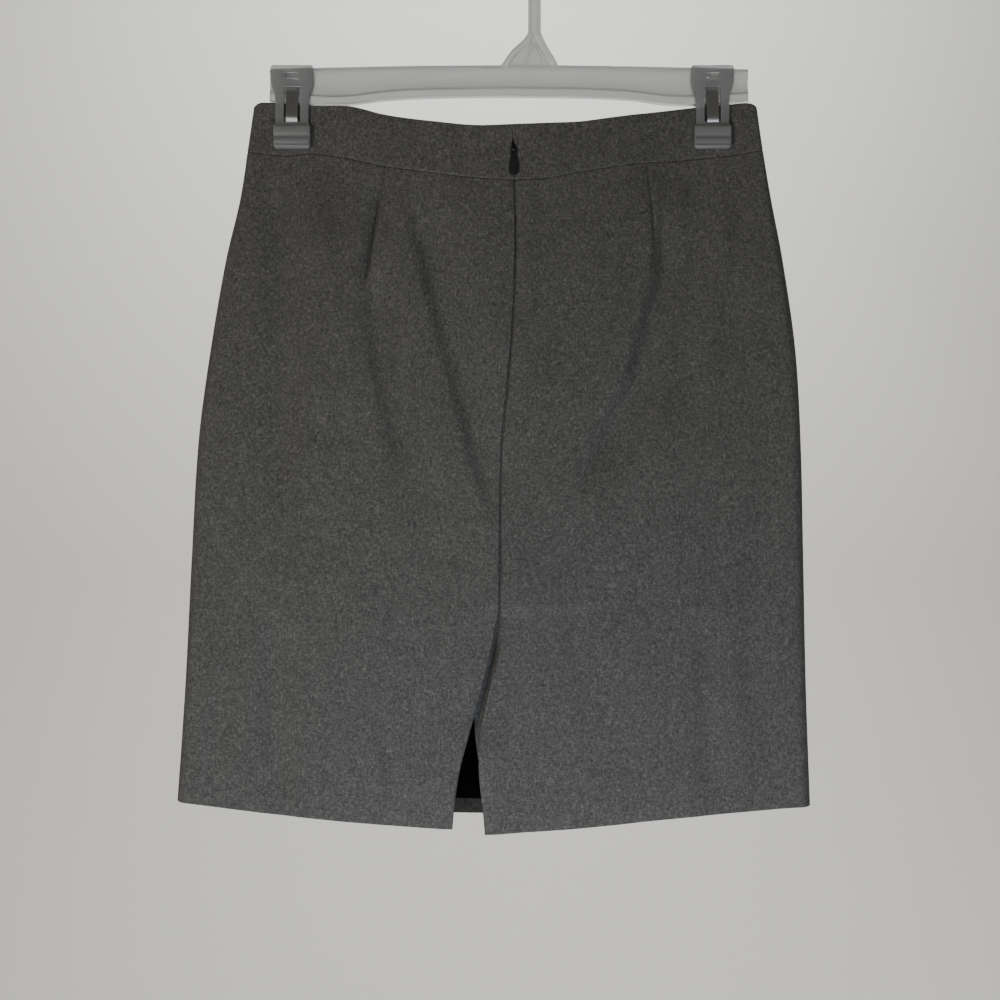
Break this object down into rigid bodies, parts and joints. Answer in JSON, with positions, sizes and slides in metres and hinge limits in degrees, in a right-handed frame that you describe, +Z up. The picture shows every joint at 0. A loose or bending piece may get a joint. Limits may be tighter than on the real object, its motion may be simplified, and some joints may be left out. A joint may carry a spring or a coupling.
{
  "type": "pencil skirt on a clip hanger",
  "caption": "Knee-length pencil skirt in grey wool with a shaped waistband, back darts, centre-back zip and open back slit, hung by its waistband from a clear clip hanger.",
  "frame": {"origin": "inside top of the hanger's hook, on the rail that it hangs from", "axes": "+Z up; +Y from the skirt's back, which the picture shows, to its front; +X to the right of someone who looks at the back"},
  "size_m": [0.4738, 0.0464, 0.6694],
  "materials": {
    "wool": "brushed flannel",
    "lining": "satin",
    "zip_tape": "woven",
    "zip_coil": "moulded",
    "zip_metal": "enamelled",
    "clear_plastic": "clear, slightly frosted",
    "spring_steel": "bright"
  },
  "bodies": {
    "skirt_and_hanger": {"back_left": "wool", "back_right": "wool", "front": "wool", "waistband_back_left": "wool", "waistband_back_right": "wool", "waistband_front": "wool", "slit_facing_right": "wool", "lining_front": "lining", "zip_tape_left": "zip_tape", "zip_tape_right": "zip_tape", "zip_coil": "zip_coil", "zip_slider": "zip_metal", "hanger": "clear_plastic", "clip_left_front_jaw": "clear_plastic", "clip_left_rear_jaw": "clear_plastic", "clip_left_spring": "spring_steel", "clip_right_front_jaw": "clear_plastic", "clip_right_rear_jaw": "clear_plastic", "clip_right_spring": "spring_steel"},
    "zip_pull": {"zip_pull": "zip_metal"}
  },
  "joints": [
    {"name": "zip_pull_swing", "type": "hinge", "parent": "skirt_and_hanger", "child": "zip_pull", "pos_m": [0.00627, -0.01609, -0.156], "axis": [-1, 0, 0], "range_deg": [0, 150]}
  ]
}
